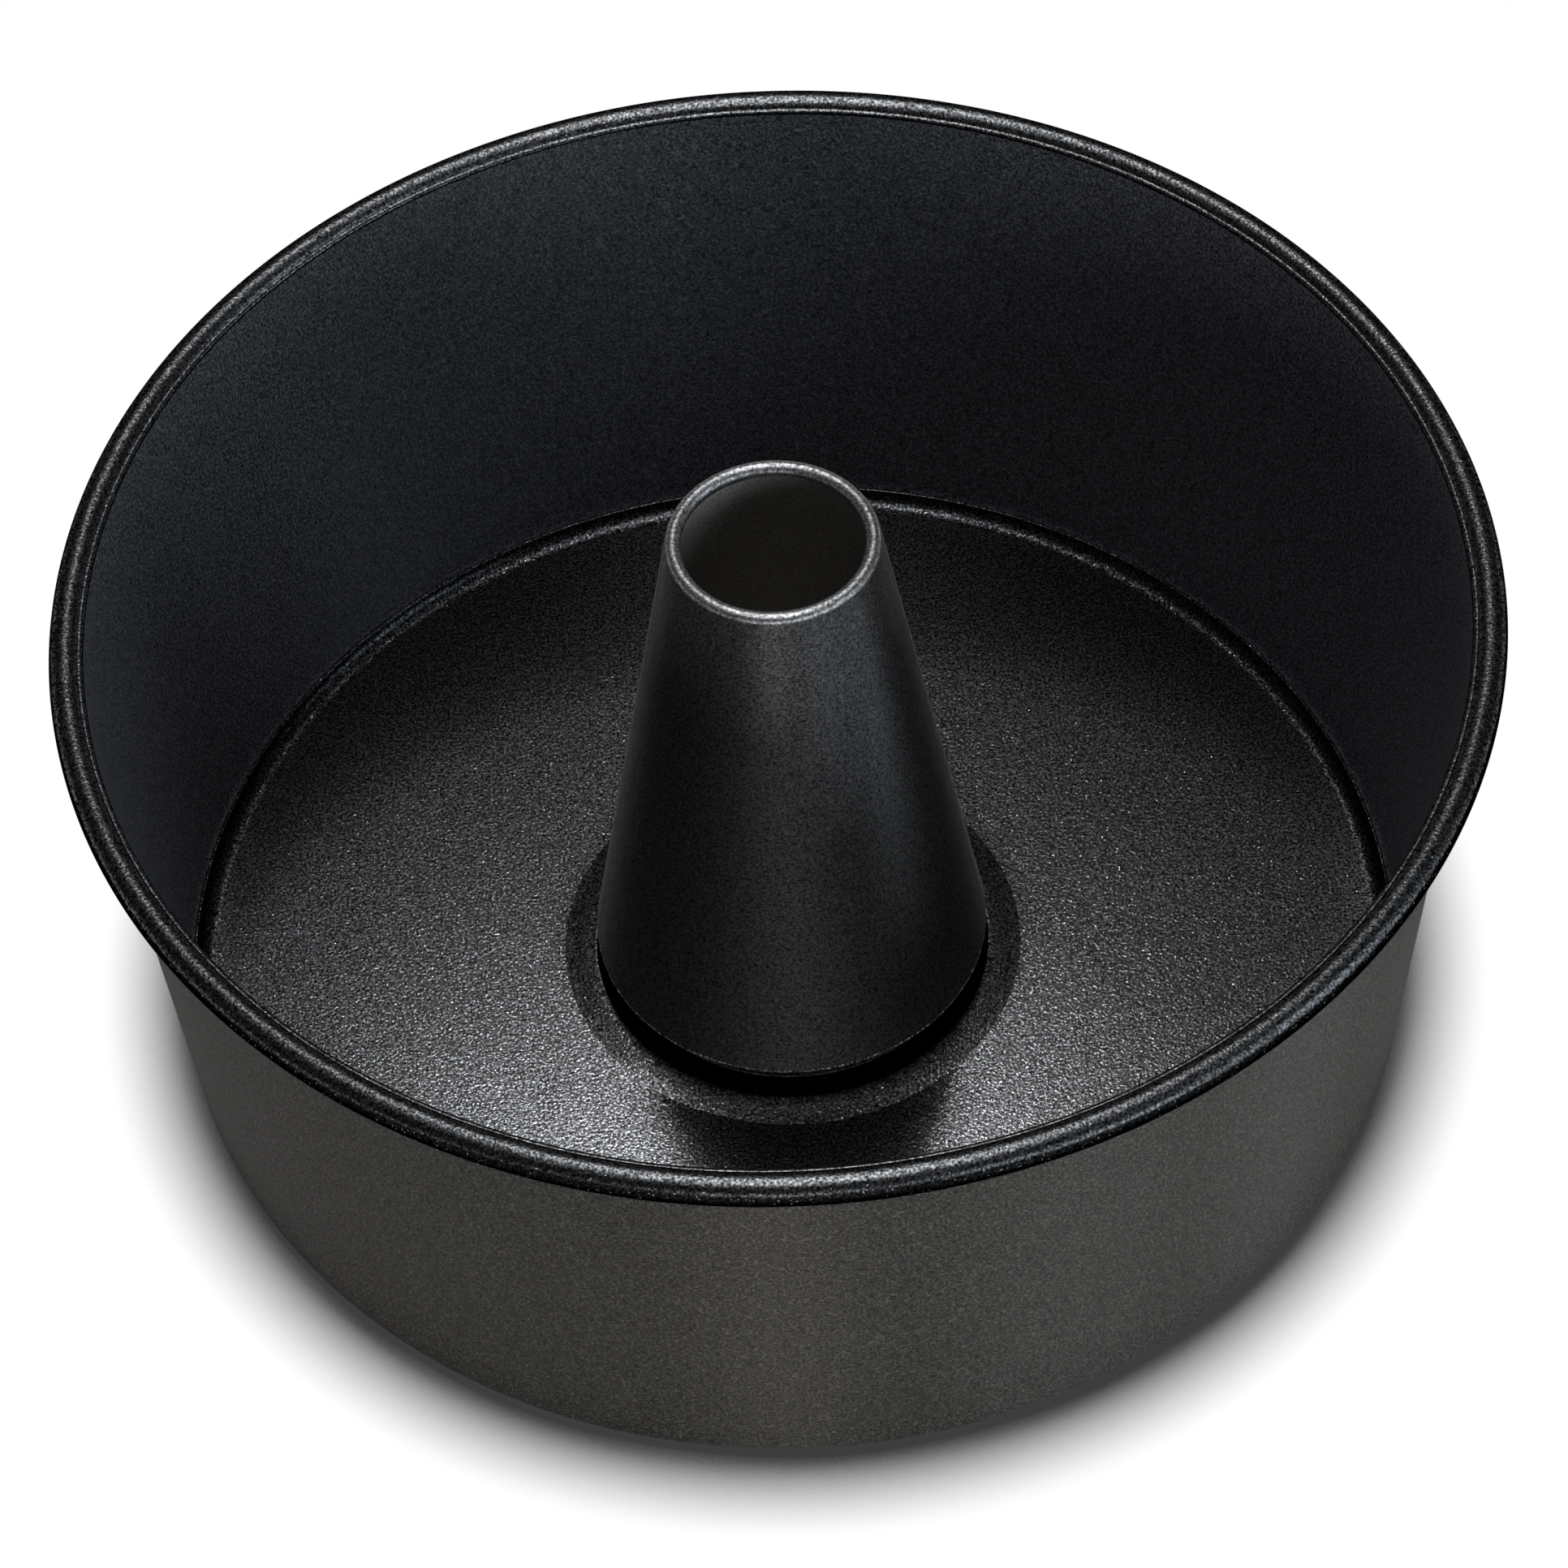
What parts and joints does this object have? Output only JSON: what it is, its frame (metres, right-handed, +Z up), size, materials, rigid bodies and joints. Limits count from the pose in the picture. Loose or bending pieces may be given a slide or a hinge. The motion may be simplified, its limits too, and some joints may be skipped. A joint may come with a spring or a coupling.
{
  "type": "ring cake pan",
  "caption": "Round tapered ring cake pan with a rolled rim and a loose base that lifts out with its conical centre tube.",
  "frame": {"origin": "centre of the pan's footprint, on the surface that it stands on", "axes": "+Z up along the axis of the pan and its centre tube; +X and +Y are any two directions square to it, since the pan is round"},
  "size_m": [0.254, 0.254, 0.1152],
  "materials": {
    "outer_coating": "warm dark grey satin coating with a fine metallic grain",
    "bare_steel": "drawn steel wire, out of sight inside the rim",
    "inner_coating": "near-black satin non-stick coating with fine bright flakes",
    "tube_coating": "near-black satin non-stick coating"
  },
  "bodies": {
    "body": {"pan_body": "outer_coating", "rim_wire": "bare_steel"},
    "insert": {"base_plate": "inner_coating", "centre_tube": "tube_coating"}
  },
  "joints": [
    {"name": "base_lift", "type": "slide", "parent": "body", "child": "insert", "axis": [0, 0, 1], "range_m": [0, 0.115]}
  ]
}
